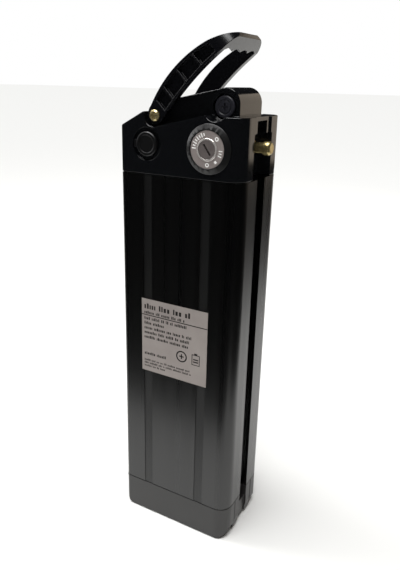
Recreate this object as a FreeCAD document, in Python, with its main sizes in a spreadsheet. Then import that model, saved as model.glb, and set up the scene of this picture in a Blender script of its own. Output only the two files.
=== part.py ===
import FreeCAD, Part
import math
import os
import re

import Sketcher

# A rail-mounted battery pack. The row frame has X across the wide face with the rail side at +X,
# Y through the depth with the lock side at -Y, and Z up. The origin is the centre of the base.

os.makedirs("parts", exist_ok=True)
doc = FreeCAD.newDocument("battery_pack")

# ---------------------------------------------------------------- driving dimensions (mm, degrees)

DIMENSIONS = [
    # outer case
    ("width", 110.0), ("depth", 75.0), ("rail_corner", 12.8), ("left_corner", 3.5),
    ("bottom_height", 33.0), ("tube_length", 301.3), ("cap_height", 48.9), ("deck_drop", 1.4),
    ("tube_wall", 2.0), ("cap_wall", 2.6), ("seam", 0.8), ("gasket_inset", 0.8), 
    ("spigot_depth", 12.0), ("spigot_gap", 0.25), ("spigot_wall", 2.4),
    ("base_left_round", 8.0), ("base_rail_round", 12.0), ("base_edge_round", 1.6), ("base_draft", 0.8),
    # guide channel of the tube and of both caps
    ("slot_width", 15.0), ("lip", 2.5), ("channel_width", 34.0), ("channel_depth", 8.5),
    ("channel_wall", 1.8), ("cap_channel_top", 34.7), ("ledge_height", 20.0), ("block_recess", 2.3),
    ("block_half", 8.0), ("frame_half", 15.0), ("frame_depth", 1.5), ("window_half", 9.0),
    ("window_low", 30.0), ("window_high", 44.2), ("groove_place", 17.6), ("groove_size", 1.5),
    # shallow bands along the wide faces
    ("band_left", -29.0), ("band_right", 25.2), ("band_width", 8.6), ("band_depth", 0.4),
    # handle and its recess
    ("pivot_place", -23.4), ("pivot_height", 46.1), ("handle_lift", 44.8), ("handle_reach", 86.7),
    ("handle_half", 34.2), ("handle_taper", 0.02), ("arm_thick", 6.0), ("boss_radius", 6.8),
    ("arm_crown", 100.5), ("arm_belly", 226.0), ("grip_inner", 73.0), ("grip_corner", 19.0),
    ("cusp_pitch", 13.6), ("cusp_round", 9.7), ("arm_web", 2.4), ("arm_flange", 2.2),
    ("rib_thick", 1.4), ("rib_pitch", 17.0), ("rib_start", 20.0), ("bore_gap", 0.05),
    ("recess_radius", 8.6), ("ledge_slope", 13.4), ("sleeve_radius", 3.5),
    ("screw_radius", 2.0), ("pivot_head_radius", 4.4), ("pivot_head", 1.8), ("pivot_thread", 12.0),
    # raised block between the arms
    ("hump_left", -34.0), ("hump_end", 43.4), ("hump_peak", 68.4), ("hump_slope", 12.4),
    ("hump_taper", 0.088),
    ("hump_round", 12.0), ("slope_start", -33.0), ("slope_edge", 38.0), ("edge_round", 0.7),
    # lock
    ("lock_place", 26.6), ("lock_height", 23.7), ("bezel_radius", 19.0), ("bezel_front", 14.9),
    ("bezel_proud", 3.0), ("face_radius", 14.2), ("face_thick", 1.0), ("ring_radius", 8.7),
    ("barrel_radius", 7.25), ("housing_radius", 11.0), ("housing_length", 26.0), ("crank", 6.5),
    ("crank_pin", 2.0), ("yoke_gap", 0.3), ("bolt_radius", 4.3), ("bolt_tip_radius", 5.5),
    ("bolt_tip", 6.5), ("bolt_reach", 7.4), ("bolt_chamfer", 1.9), ("bush_radius", 5.9),
    ("key_slot", 10.0), ("key_angle", -55.0),
    # charge socket and its cover
    ("port_place", -29.4), ("port_height", 24.0), ("port_recess", 13.0), ("port_sink", 2.0),
    ("cover_radius", 9.75), ("cover_proud", 0.8), ("socket_radius", 8.0), ("socket_bore", 5.0),
    ("socket_length", 20.0),
    # fuse
    ("fuse_place", 31.0), ("fuse_height", 54.2), ("fuse_cap_radius", 8.4), ("fuse_hole", 9.4),
    ("fuse_body_radius", 6.6), ("fuse_length", 34.0), ("fuse_disc_radius", 4.7),
    # label
    ("label_place", -2.3), ("label_base", 123.2), ("label_width", 65.7), ("label_height", 69.6),
    ("label_thick", 0.3),
    # cells
    ("cell_radius", 9.15), ("cell_length", 65.2), ("cell_pitch", 18.9), ("cell_columns", 5),
    ("cell_rows", 10), ("cell_gap", 0.1), ("cell_base", 12.0), ("cell_shift", -4.6),
    ("holder_thick", 6.0), ("strip_thick", 0.25), ("sheet_thick", 0.8), ("pad_thick", 5.0),
    # protection board, leads and discharge socket
    ("board_width", 78.0), ("board_height", 62.0), ("board_thick", 1.6), ("board_lift", 8.0),
    ("lead_radius", 1.8), ("lead_bend", 9.0), ("lead_lane", 26.0), ("lead_side", 47.6),
    ("plug_width", 40.0), ("plug_depth", 18.0), ("plug_height", 14.0), ("plug_place", -25.0), ("blade_thick", 1.2),
    # screws that hold the caps
    ("case_screw", 1.5), ("case_screw_head", 2.8), ("case_screw_length", 6.0), ("screw_setback", 6.0),
]

sheet = doc.addObject("Spreadsheet::Sheet", "Dims")
for row, (alias, number) in enumerate(DIMENSIONS, start=1):
    sheet.set("A%d" % row, alias)
    sheet.set("B%d" % row, str(number))
    sheet.setAlias("B%d" % row, alias)
doc.recompute()

FUNCTIONS = {"sin", "cos", "tan", "sqrt", "min", "max", "abs"}


def cells(text):
    """The expression with every plain word turned into a reference to its cell."""
    def refer(match):
        word = match.group()
        return word if word in FUNCTIONS else "Dims." + word
    return re.sub(r"[a-z][a-z_]*", refer, str(text))


def number(text):
    """The present value of an expression."""
    found = sheet.evalExpression(cells(text))
    return float(getattr(found, "Value", found))


# Heights and planes that several pieces share.
SEAM_LOW = "bottom_height"
SEAM_HIGH = "(bottom_height+tube_length)"
NEAR = "(depth/2)"
RIM = "(bottom_height+tube_length+cap_height)"
DECK = "(bottom_height+tube_length+cap_height-deck_drop)"
PIVOT_Z = "(bottom_height+tube_length+pivot_height)"
LOCK_Z = "(bottom_height+tube_length+lock_height)"
PORT_Z = "(bottom_height+tube_length+port_height)"
FUSE_Z = "(bottom_height+tube_length+fuse_height)"
RAIL = "(width/2)"
HUMP_HALF = "(handle_half-arm_thick-1.2)"
FUSE_FRONT = "(-(%s-hump_taper*(fuse_place-pivot_place)))" % HUMP_HALF
BOARD_BASE = "(bottom_height+cell_base+cell_rows*cell_pitch+pad_thick+board_lift)"

# ---------------------------------------------------------------- sketches

PLANES = {
    "XY": FreeCAD.Rotation(),
    "XZ": FreeCAD.Rotation(FreeCAD.Vector(1, 0, 0), 90),
    "YZ": FreeCAD.Rotation(FreeCAD.Vector(1, 1, 1), 120),
}
ALONG = {"XY": ("z", (0, 0, 1)), "XZ": ("y", (0, 1, 0)), "YZ": ("x", (1, 0, 0))}


def bind(item, path, text):
    item.setExpression(path, cells(text))


def drive(sketch, constraint, text):
    """Add a dimension to a sketch and tie it to the sheet."""
    index = sketch.addConstraint(constraint)
    bind(sketch, "Constraints[%d]" % index, text)


def pin_point(sketch, geometry, end, across, up):
    drive(sketch, Sketcher.Constraint("DistanceX", -1, 1, geometry, end, number(across)), across)
    drive(sketch, Sketcher.Constraint("DistanceY", -1, 1, geometry, end, number(up)), up)


def arc_between(start, end, radius):
    """The short arc from start to end; a positive radius turns left on the way."""
    chord = end - start
    half = chord.Length / 2
    rise = math.sqrt(max(radius * radius - half * half, 0.0))
    side = FreeCAD.Vector(-chord.y, chord.x, 0).normalize()
    centre = start + chord * 0.5 + side * (rise if radius > 0 else -rise)
    circle = Part.Circle(centre, FreeCAD.Vector(0, 0, 1), abs(radius))
    first = math.atan2(start.y - centre.y, start.x - centre.x)
    last = math.atan2(end.y - centre.y, end.x - centre.x)
    if radius > 0:
        return Part.ArcOfCircle(circle, first, last), 1, 2
    return Part.ArcOfCircle(circle, last, first), 2, 1


def path(sketch, corners):
    """A closed outline. Each corner is (across, up), or (across, up, radius) where the stretch
    that leaves the corner is an arc; a minus sign in front of the radius turns it right."""
    points = [FreeCAD.Vector(number(corner[0]), number(corner[1]), 0) for corner in corners]
    ends = []
    for index, corner in enumerate(corners):
        start = points[index]
        end = points[(index + 1) % len(points)]
        if len(corner) == 2:
            ends.append((sketch.addGeometry(Part.LineSegment(start, end)), 1, 2))
        else:
            radius = number(corner[2])
            arc, first, last = arc_between(start, end, radius)
            geometry = sketch.addGeometry(arc)
            ends.append((geometry, first, last))
            drive(sketch, Sketcher.Constraint("Radius", geometry, abs(radius)), "abs(%s)" % corner[2])
    for index, corner in enumerate(corners):
        geometry, first, _ = ends[index]
        before, _, last = ends[index - 1]
        sketch.addConstraint(Sketcher.Constraint("Coincident", before, last, geometry, first))
        pin_point(sketch, geometry, first, corner[0], corner[1])


def box_outline(sketch, left, right, low, high):
    path(sketch, [(left, low), (right, low), (right, high), (left, high)])


def circle_outline(sketch, across, up, radius):
    centre = FreeCAD.Vector(number(across), number(up), 0)
    circle = Part.Circle(centre, FreeCAD.Vector(0, 0, 1), number(radius))
    geometry = sketch.addGeometry(circle)
    drive(sketch, Sketcher.Constraint("Radius", geometry, number(radius)), radius)
    pin_point(sketch, geometry, 3, across, up)


def case_outline(sketch, inset="0"):
    """The case's plan, shrunk by inset: small corners on the left and large ones by the rail."""
    right = "(width/2-(%s))" % inset
    left = "(-width/2+(%s))" % inset
    side = "(depth/2-(%s))" % inset
    big = "(rail_corner-(%s))" % inset
    small = "max(left_corner-(%s);0.6)" % inset
    path(sketch, [
        (left + "+" + small, "-" + side),
        (right + "-" + big, "-" + side, big),
        (right, "-" + side + "+" + big),
        (right, side + "-" + big, big),
        (right + "-" + big, side),
        (left + "+" + small, side, small),
        (left, side + "-" + small),
        (left, "-" + side + "+" + small, small),
    ])


def body_sketch(body, plane, offset, draw, *measures):
    """A sketch on one of the body's own planes, moved along that plane's normal."""
    sketch = body.newObject("Sketcher::SketchObject", body.Name + "_sketch")
    role = plane + "_Plane"
    origin_plane = next(item for item in body.Origin.OriginFeatures if item.Role == role)
    sketch.AttachmentSupport = (origin_plane, [""])
    sketch.MapMode = "FlatFace"
    # An XZ sketch faces -Y, so its offset has the other sign.
    bind(sketch, "AttachmentOffset.Base.z", "-(%s)" % offset if plane == "XZ" else offset)
    draw(sketch, *measures)
    return sketch


def new_body(label):
    body = doc.addObject("PartDesign::Body", label)
    body.Label = label
    return body


def pad(body, sketch, length, taper=None):
    feature = body.newObject("PartDesign::Pad", body.Name + "_pad")
    feature.Profile = sketch
    bind(feature, "Length", length)
    if taper:
        bind(feature, "TaperAngle", taper)
    return feature


def pocket(body, sketch, length, backwards=False):
    """Cut along the sketch's normal, or against it, and make sure that something was cut."""
    doc.recompute()
    before = body.Shape.Volume
    feature = body.newObject("PartDesign::Pocket", body.Name + "_pocket")
    feature.Profile = sketch
    feature.Reversed = not backwards
    bind(feature, "Length", length)
    doc.recompute()
    if not body.Shape.Volume < before - 0.01:
        raise RuntimeError("a pocket of %s cuts nothing" % body.Label)
    return feature


def prism(plane, start, length, draw, *measures):
    """A loose sketch on a plane through start, extruded along the plane's row axis."""
    sketch = doc.addObject("Sketcher::SketchObject", "outline")
    sketch.Placement = FreeCAD.Placement(FreeCAD.Vector(), PLANES[plane])
    letter, direction = ALONG[plane]
    bind(sketch, "Placement.Base." + letter, start)
    draw(sketch, *measures)
    solid = doc.addObject("Part::Extrusion", "prism")
    solid.Base = sketch
    solid.DirMode = "Custom"
    solid.Dir = FreeCAD.Vector(*direction)
    solid.Solid = True
    bind(solid, "LengthFwd", length)
    return solid


def cylinder(plane, start, length, across, up, radius):
    return prism(plane, start, length, circle_outline, across, up, radius)


def block(left, right, front, back, low, high, label="block"):
    """A box given by its six faces."""
    solid = doc.addObject("Part::Box", label)
    bind(solid, "Length", "(%s)-(%s)" % (right, left))
    bind(solid, "Width", "(%s)-(%s)" % (back, front))
    bind(solid, "Height", "(%s)-(%s)" % (high, low))
    bind(solid, "Placement.Base.x", left)
    bind(solid, "Placement.Base.y", front)
    bind(solid, "Placement.Base.z", low)
    return solid


def fuse(items, label="fused"):
    result = doc.addObject("Part::MultiFuse", label)
    result.Shapes = items
    return result


def common(first, second, label="common"):
    result = doc.addObject("Part::MultiCommon", label)
    result.Shapes = [first, second]
    return result


def cut(base, tools, label="cut"):
    """Base without the tools, checked to have lost material."""
    result = doc.addObject("Part::Cut", label)
    result.Base = base
    result.Tool = tools[0] if len(tools) == 1 else fuse(tools)
    doc.recompute()
    if not result.Shape.Volume < base.Shape.Volume - 0.01:
        raise RuntimeError("%s cuts nothing" % label)
    return result


def group(items, label):
    result = doc.addObject("Part::Compound", label)
    result.Links = items
    return result


def rounded(base, radius, chosen, label="rounded"):
    """Base with a fillet on every edge that chosen accepts."""
    doc.recompute()
    result = doc.addObject("Part::Fillet", label)
    result.Base = base
    size = number(radius)
    picks = [index for index, edge in enumerate(base.Shape.Edges, start=1) if chosen(edge)]
    result.Edges = [(index, size, size) for index in picks]
    doc.recompute()
    if not picks or result.Shape.isNull() or not result.Shape.isValid():
        raise RuntimeError("%s can't be rounded (%d edges)" % (label, len(picks)))
    return result


TURNS = {
    "-Y": FreeCAD.Rotation(FreeCAD.Vector(1, 0, 0), 90),
    "+Y": FreeCAD.Rotation(FreeCAD.Vector(1, 0, 0), -90),
    "+X": FreeCAD.Rotation(FreeCAD.Vector(0, 1, 0), 90),
    "-X": FreeCAD.Rotation(FreeCAD.Vector(0, 1, 0), -90),
    "+Z": FreeCAD.Rotation(),
    "-Z": FreeCAD.Rotation(FreeCAD.Vector(1, 0, 0), 180),
}


def stand(item, axis, across, through, up):
    """Turn a piece's own Z to a row axis and put its origin in place."""
    item.Placement = FreeCAD.Placement(FreeCAD.Vector(), TURNS[axis])
    bind(item, "Placement.Base.x", across)
    bind(item, "Placement.Base.y", through)
    bind(item, "Placement.Base.z", up)
    return item


def turned(label, profile):
    """A lathe part: a half outline of (radius, height) corners spun about its own Z."""
    body = new_body(label)
    sketch = body_sketch(body, "XZ", "0", path, profile)
    feature = body.newObject("PartDesign::Revolution", body.Name + "_spin")
    feature.Profile = sketch
    feature.ReferenceAxis = (sketch, ["V_Axis"])
    feature.Angle = 360
    return body


def tube_profile(inner, outer, low, high):
    return [(inner, low), (outer, low), (outer, high), (inner, high)]


def screw(label, shank, head, head_length, length):
    """A pan head screw along +Z with its seat at zero and its shank below."""
    dome = "(%s)*0.72" % head
    body = turned(label, [
        ("0", "-(%s)" % length), (shank + "*0.4", "-(%s)" % length),
        (shank, "-(%s)+%s" % (length, shank)), (shank, "0"), (head, "0"),
        (head, "(%s)*0.45" % head_length), (dome, head_length), ("0", head_length),
    ])
    arm = "(%s)*0.62" % head
    bar = "(%s)*0.13" % head
    cross = [("-" + arm, "-" + bar), ("-" + bar, "-" + bar), ("-" + bar, "-" + arm),
             (bar, "-" + arm), (bar, "-" + bar), (arm, "-" + bar), (arm, bar), (bar, bar),
             (bar, arm), ("-" + bar, arm), ("-" + bar, bar), ("-" + arm, bar)]
    recess = body_sketch(body, "XY", head_length, path, cross)
    pocket(body, recess, "(%s)*0.6" % head_length, backwards=True)
    return body


# ---------------------------------------------------------------- case

def make_case_tube():
    """Aluminium extrusion: a rounded box with an undercut guide channel on its rail side."""
    body = new_body("case_tube")
    base = SEAM_LOW + "+seam/2"
    length = "(tube_length-seam)"
    pad(body, body_sketch(body, "XY", base, case_outline), length)
    pocket(body, body_sketch(body, "XY", base, case_outline, "tube_wall"), length)
    floor = "(%s-channel_depth-channel_wall)" % RAIL
    wall = "(channel_width/2+channel_wall)"
    pad(body, body_sketch(body, "XY", base, box_outline, floor, RAIL, "-" + wall, wall), length)
    lip = "(%s-lip)" % RAIL
    inner = "(%s-channel_depth)" % RAIL
    pocket(body, body_sketch(body, "XY", base, box_outline, inner, lip,
                             "-channel_width/2", "channel_width/2"), length)
    pocket(body, body_sketch(body, "XY", base, box_outline, "(%s-0.1)" % lip, RAIL + "+1",
                             "-slot_width/2", "slot_width/2"), length)
    for band in ("band_left", "band_right"):
        for low, high in (("-%s-1" % NEAR, "-%s+band_depth" % NEAR), (NEAR + "-band_depth", NEAR + "+1")):
            pocket(body, body_sketch(body, "XY", base, box_outline, band + "-band_width/2",
                                     band + "+band_width/2", low, high), length)
    for height in (SEAM_LOW + "+screw_setback", SEAM_HIGH + "-screw_setback"):
        for place in ("-20", "20"):
            pocket(body, body_sketch(body, "YZ", "-width/2-1", circle_outline, place, height,
                                     "case_screw+0.1"), "tube_wall+2")
        for place in ("-36", "30"):
            pocket(body, body_sketch(body, "XZ", NEAR + "-tube_wall-1", circle_outline, place, height,
                                     "case_screw+0.1"), "tube_wall+2", backwards=True)
    return body


def make_bottom_cap():
    """Moulded foot: an outer shell as wide as the tube, with a spigot that plugs into it."""
    top = "(bottom_height-seam/2)"
    side = prism("XZ", "-%s-1" % NEAR, "depth+2", path, [
        ("-width/2", top), ("-width/2+base_draft", "base_left_round", "base_left_round"),
        ("-width/2+base_draft+base_left_round", "0"), (RAIL + "-base_rail_round", "0", "base_rail_round"),
        (RAIL, "base_rail_round"), (RAIL, top)])
    front = prism("YZ", "-width/2-1", "width+2", path, [
        ("-" + NEAR, top), ("-" + NEAR, "base_edge_round", "base_edge_round"),
        ("-%s+base_edge_round" % NEAR, "0"), (NEAR + "-base_edge_round", "0", "base_edge_round"),
        (NEAR, "base_edge_round"), (NEAR, top)])
    shell = common(common(side, front), prism("XY", "0", top, case_outline))
    hollow = prism("XY", "cap_wall+2", "(%s-cap_wall-2)" % top, case_outline, "cap_wall+2.2")
    spigot = cut(prism("XY", top + "-2", "(spigot_depth+2)", case_outline, "tube_wall+spigot_gap"),
                 [prism("XY", top + "-3", "(spigot_depth+4)", case_outline,
                        "tube_wall+spigot_gap+spigot_wall")])
    room = "(%s-channel_depth-channel_wall-spigot_gap)" % RAIL
    back = "(%s-channel_depth-channel_wall-spigot_gap-spigot_wall)" % RAIL
    half = "(channel_width/2+channel_wall+spigot_gap)"
    shell = fuse([cut(shell, [hollow]), spigot])
    channel_walls = block(back, RAIL + "-1", "-%s" % half, half, "cap_wall", top)
    upper_wall = block(back, room, "-%s-spigot_wall" % half, half + "+spigot_wall", top + "-1",
                       top + "+spigot_depth")
    plug_seat = block("plug_place-plug_width/2-2", "plug_place+plug_width/2+2", "-plug_depth/2-2",
                      "plug_depth/2+2", "1", "plug_height")
    shell = fuse([shell, channel_walls, upper_wall, plug_seat])
    slot = block(RAIL + "-channel_depth", RAIL + "+2", "-slot_width/2", "slot_width/2",
                 "ledge_height", top + "+1")
    clear = block(room, RAIL + "+2", "-%s" % half, half, top, top + "+spigot_depth+1")
    recess = block(RAIL + "-block_recess", RAIL + "+2", "-block_half", "block_half", "-1", "ledge_height+1")
    plug_hole = block("plug_place-plug_width/2", "plug_place+plug_width/2", "-plug_depth/2",
                      "plug_depth/2", "-1", "plug_height+3")
    grooves = [
        cylinder("XY", "6", top, RAIL, side + "groove_place", "groove_size/2") for side in ("-", "")
    ]
    screws = cap_screw_holes(SEAM_LOW + "+screw_setback")
    return cut(shell, [slot, clear, recess, plug_hole] + grooves + screws, "bottom_cap")


def cap_screw_holes(height):
    """Pilot holes in a spigot for the two left-hand and the two rear screws."""
    left = [cylinder("YZ", "-width/2+tube_wall-1", "case_screw_length", place, height, "case_screw")
            for place in ("-20", "20")]
    rear = [cylinder("XZ", NEAR + "-tube_wall-case_screw_length+1", "case_screw_length", place, height,
                     "case_screw") for place in ("-36", "30")]
    return left + rear


def make_top_cap():
    """Moulded head: sloped shell, handle recesses, raised block, guide channel and spigot."""
    low = "(%s+seam/2)" % SEAM_HIGH
    height = "(cap_height-seam/2)"
    shell = prism("XY", low, height, case_outline)
    slope = prism("XZ", "-%s-1" % NEAR, "depth+2", path, [
        ("-width/2-3", RIM + "-13.6"), ("slope_start", RIM), ("slope_start", RIM + "+3"),
        ("-width/2-3", RIM + "+3")])
    deck = block("slope_edge", RAIL + "+2", "-%s-1" % NEAR, NEAR + "+1", DECK, RIM + "+3")
    scallop = cylinder("XZ", "-%s-1" % NEAR, "depth+2", "fuse_place", FUSE_Z, "fuse_cap_radius+1.9")
    rise = "tan(ledge_slope)"
    foot_x = "(pivot_place+recess_radius*sin(ledge_slope))"
    foot_z = "(%s-recess_radius*cos(ledge_slope))" % PIVOT_Z
    recess = prism("XZ", "-%s-1" % NEAR, "depth+2", path, [
        ("pivot_place-recess_radius", RIM + "+4"),
        ("pivot_place-recess_radius", PIVOT_Z, "recess_radius"),
        (foot_x, foot_z),
        ("slope_edge", "%s+(slope_edge-%s)*%s" % (foot_z, foot_x, rise)),
        ("slope_edge", RIM + "+4")])
    shell = cut(shell, [slope, deck, recess, scallop])
    shell = rounded(shell, "edge_round", on_outer_rim)
    hollow = prism("XY", low, "(cap_height-recess_radius-10)", case_outline, "cap_wall")
    shell = cut(shell, [hollow])
    spigot = cut(prism("XY", low + "-spigot_depth", "(spigot_depth+2)", case_outline,
                       "tube_wall+spigot_gap"),
                 [prism("XY", low + "-spigot_depth-1", "(spigot_depth+4)", case_outline,
                        "tube_wall+spigot_gap+spigot_wall")])
    back = "(%s-channel_depth-cap_wall)" % RAIL
    half = "(channel_width/2+cap_wall)"
    room = "(%s-channel_depth-channel_wall-spigot_gap)" % RAIL
    side = "(channel_width/2+channel_wall+spigot_gap)"
    channel_walls = block(back, RAIL + "-1", "-" + half, half, low, DECK + "-1")
    upper_wall = block(room + "-spigot_wall", room, "-%s-spigot_wall" % side, side + "+spigot_wall",
                       low + "-spigot_depth", low + "+2")
    lock_boss = cylinder("XZ", "-%s+0.5" % NEAR, "6", "lock_place", LOCK_Z, "housing_radius+3")
    port_boss = cylinder("XZ", "-%s+0.5" % NEAR, "port_sink+3", "port_place", PORT_Z, "port_recess+1.5")
    shell = fuse([shell, spigot, channel_walls, upper_wall, lock_boss, port_boss, make_hump()])
    clear = block(room, RAIL + "+2", "-" + side, side, low + "-spigot_depth-1", low)
    channel = block(RAIL + "-channel_depth", RAIL + "+2", "-channel_width/2", "channel_width/2",
                    low + "-1", SEAM_HIGH + "+cap_channel_top")
    frame = block(RAIL + "-frame_depth", RAIL + "+2", "-frame_half", "frame_half",
                  SEAM_HIGH + "+cap_channel_top-1", DECK + "+1")
    window = block(RAIL + "-channel_depth", RAIL + "+2", "-window_half", "window_half",
                   SEAM_HIGH + "+window_low", SEAM_HIGH + "+window_high")
    bolt_hole = cylinder("YZ", back + "-1", "cap_wall+2", "0", LOCK_Z, "bush_radius")
    lock_hole = cylinder("XZ", "-%s-1" % NEAR, "12", "lock_place", LOCK_Z, "housing_radius+0.1")
    port_sink = cylinder("XZ", "-%s-1" % NEAR, "port_sink+1", "port_place", PORT_Z, "port_recess")
    port_hole = cylinder("XZ", "-%s-1" % NEAR, "12", "port_place", PORT_Z, "socket_radius+0.1")
    hump_room = block("-14", "hump_end-3", "-17", "17", DECK + "-13", PIVOT_Z + "+8")
    lock_room = block("lock_place-15", back, "-%s+6.5" % NEAR, "-3", SEAM_HIGH + "+20", LOCK_Z + "+14.4")
    port_room = block("port_place-12", "port_place+12", "-%s+port_sink+3.5" % NEAR, "-14",
                      SEAM_HIGH + "+20", PORT_Z + "+10.8")
    fuse_room = cylinder("XZ", "-17", "34", "fuse_place", FUSE_Z, "fuse_cap_radius+0.6")
    fuse_hole = cylinder("XZ", "-%s-1" % NEAR, "depth/2+1", "fuse_place", FUSE_Z, "fuse_body_radius+0.1")
    fuse_sink = cylinder("XZ", "-%s-1" % NEAR, "%s+3.2+%s+1" % (FUSE_FRONT, NEAR), "fuse_place", FUSE_Z,
                         "fuse_hole")
    thread = "(%s+pivot_thread+2-%s)" % (NEAR, HUMP_HALF)
    pivot_holes = [cylinder("XZ", start, thread, "pivot_place", PIVOT_Z, "screw_radius")
                   for start in ("-%s-1" % NEAR, "%s+1-%s" % (NEAR, thread))]
    return cut(shell, [clear, channel, frame, window, bolt_hole, lock_hole, port_sink, port_hole,
                       hump_room, lock_room, port_room, fuse_room, fuse_hole, fuse_sink] + pivot_holes
               + cap_screw_holes(SEAM_HIGH + "-screw_setback"), "top_cap")


def on_outer_rim(edge):
    """The edges of the wide faces along the top of the shell."""
    box = edge.BoundBox
    flat = box.YMax - box.YMin < 0.01
    outer = abs(abs(box.YMax) - number(NEAR)) < 0.01
    inside = box.XMin > number("-width/2+left_corner") - 0.01 and box.XMax < number(RAIL) - 0.01
    return flat and outer and inside and box.ZMin > number(PIVOT_Z) - 20


def make_hump():
    """The raised block between the handle arms, narrower towards the rail side."""
    top = "(%s+hump_peak-cap_height)" % RIM
    shoulder = "(hump_end-hump_round)"
    drop = "tan(hump_slope)"
    side = prism("XZ", "-30", "60", path, [
        ("hump_left", DECK + "-10"), ("hump_end", DECK + "-10"),
        ("hump_end", top + "-hump_round", "hump_round"), (shoulder, top),
        ("hump_left+8", "%s-(%s-hump_left-8)*%s" % (top, shoulder, drop), "8.5"),
        ("hump_left", RIM)])
    near = "(%s-hump_taper*(hump_left-pivot_place))" % HUMP_HALF
    far = "(%s-hump_taper*(hump_end+2-pivot_place))" % HUMP_HALF
    plan = prism("XY", DECK + "-12", "60", path, [
        ("hump_left-1", "-" + near), ("hump_end+2", "-" + far), ("hump_end+2", far),
        ("hump_left-1", near)])
    block_between = common(side, plan)
    softened = rounded(block_between, "edge_round*1.4", on_hump_edge)
    pad_length = "2*(%s+0.4)" % HUMP_HALF
    pivot_pad = cylinder("XZ", "-(%s+0.4)" % HUMP_HALF, pad_length, "pivot_place", PIVOT_Z,
                         "boss_radius-0.8")
    return fuse([softened, pivot_pad])


def on_hump_edge(edge):
    """The long edges along both sides of the block's top and end, short of its left end."""
    box = edge.BoundBox
    long_enough = edge.Length > 5
    sideways = box.YMax - box.YMin < 8
    above = box.ZMax > number(DECK) + 2 and box.ZMin > number(DECK) - 11
    past_start = box.XMax > number("hump_left") + 9
    return long_enough and sideways and above and past_start


def make_gasket(label, seam_height):
    """A thin soft ring that fills the seam and sits a little inside the outer faces."""
    low = "(%s-seam/2)" % seam_height
    ring = prism("XY", low, "seam", case_outline, "gasket_inset")
    hole = prism("XY", low + "-1", "seam+2", case_outline, "tube_wall")
    notch = block(RAIL + "-channel_depth-channel_wall-3", RAIL + "+2", "-channel_width/2-3",
                  "channel_width/2+3", low + "-1", low + "+seam+1")
    return cut(ring, [hole, notch], label)


# ---------------------------------------------------------------- handle

def arm_inner(reach):
    return "(handle_half-arm_thick-handle_taper*(%s))" % reach


def arm_outer(reach):
    return "(handle_half-handle_taper*(%s))" % reach


def make_handle():
    """A bowed U-shaped lever, drawn with its pivot at the origin and its reach along +X."""
    side = prism("XZ", "-40", "80", path, [
        ("0", "-boss_radius", "-arm_belly"), ("handle_reach-12.7", "-4.9"),
        ("handle_reach-1.1", "-3.7"), ("handle_reach", "-0.5", "arm_crown"),
        ("-3", "6.1", "boss_radius")])
    tip = "handle_reach"
    corner = "(handle_reach-grip_corner)"
    out_tip = arm_outer("handle_reach")
    back_in = arm_inner("-9")
    back_out = arm_outer("-9")
    grip = arm_inner("grip_inner")
    plan = prism("XY", "-20", "45", path, [
        ("-9", "-" + back_out), (corner, "-" + arm_outer("handle_reach-grip_corner"), "grip_corner*1.02"),
        (tip, "-%s+grip_corner" % out_tip), (tip, out_tip + "-grip_corner", "grip_corner*1.02"),
        (corner, arm_outer("handle_reach-grip_corner")), ("-9", back_out), ("-9", back_in),
        ("grip_inner", grip, "-cusp_round"), ("grip_inner-1", "cusp_pitch", "-cusp_round"),
        ("grip_inner-1", "0", "-cusp_round"), ("grip_inner-1", "-cusp_pitch", "-cusp_round"),
        ("grip_inner", "-" + grip), ("-9", "-" + back_in)])
    lever = common(side, plan)
    pockets = []
    for sign in ("-", ""):
        pockets.append(arm_pocket(sign))
    bore = cylinder("XZ", "-40", "80", "0", "0", "sleeve_radius+bore_gap")
    handle = cut(lever, pockets + [bore], "carry_handle")
    turn = FreeCAD.Rotation(FreeCAD.Vector(0, 1, 0), -number("handle_lift"))
    handle.Placement = FreeCAD.Placement(FreeCAD.Vector(), turn)
    bind(handle, "Placement.Base.x", "pivot_place")
    bind(handle, "Placement.Base.z", PIVOT_Z)
    return handle


def arm_pocket(sign):
    """The open cells in one arm's outer face, with ribs left between them."""
    first = "9"
    last = "(grip_inner-4)"
    open_side = prism("XZ", "-40", "80", path, [
        (first, "-3.3", "-(arm_belly-5)"), (last, "-2.3"),
        (last, "5.4", "arm_crown-arm_flange"), (first, "7.4")])
    ribs = [block("rib_start+%d*rib_pitch-rib_thick/2" % step, "rib_start+%d*rib_pitch+rib_thick/2" % step,
                  "-41", "41", "-20", "20") for step in range(3)]
    cells_open = cut(open_side, ribs)
    floor_near = "%s%s" % (sign, "(%s+arm_web)" % arm_inner(first))
    floor_far = "%s%s" % (sign, "(%s+arm_web)" % arm_inner(last))
    outside = sign + "45"
    corners = [(first, floor_near), (last, floor_far), (last, outside), (first, outside)]
    slab = prism("XY", "-20", "45", path, corners)
    return common(cells_open, slab)


def make_pivot(side):
    """One shoulder sleeve and its screw; side is the row axis that the head faces."""
    sign = side[0]
    seat = "%s(%s+0.4)" % (sign, HUMP_HALF)
    shoulder = "(handle_half-%s-0.4+0.5)" % HUMP_HALF
    sleeve = turned("sleeve", tube_profile("screw_radius", "sleeve_radius", "0", shoulder))
    stand(sleeve, side, "pivot_place", seat, PIVOT_Z)
    length = "%s+pivot_thread" % shoulder
    fixing = screw("pivot_screw", "screw_radius", "pivot_head_radius", "pivot_head", length)
    stand(fixing, side, "pivot_place", "%s(handle_half+0.5)" % sign, PIVOT_Z)
    return sleeve, fixing


# ---------------------------------------------------------------- lock

FACE_Y = "(-depth/2-bezel_proud)"


def make_lock_bezel():
    """Black cone ring on the wide face; its back follows the cap's flat face."""
    ring = turned("lock_cone", [
        ("face_radius+0.2", "0"), ("bezel_radius", "0"), ("bezel_radius", "0.5"),
        ("bezel_front", "bezel_proud"), ("face_radius+0.2", "bezel_proud")])
    stand(ring, "-Y", "lock_place", "-" + NEAR, LOCK_Z)
    return relabel(ring, "lock_bezel")


def relabel(item, label):
    item.Label = label
    return item


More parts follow.
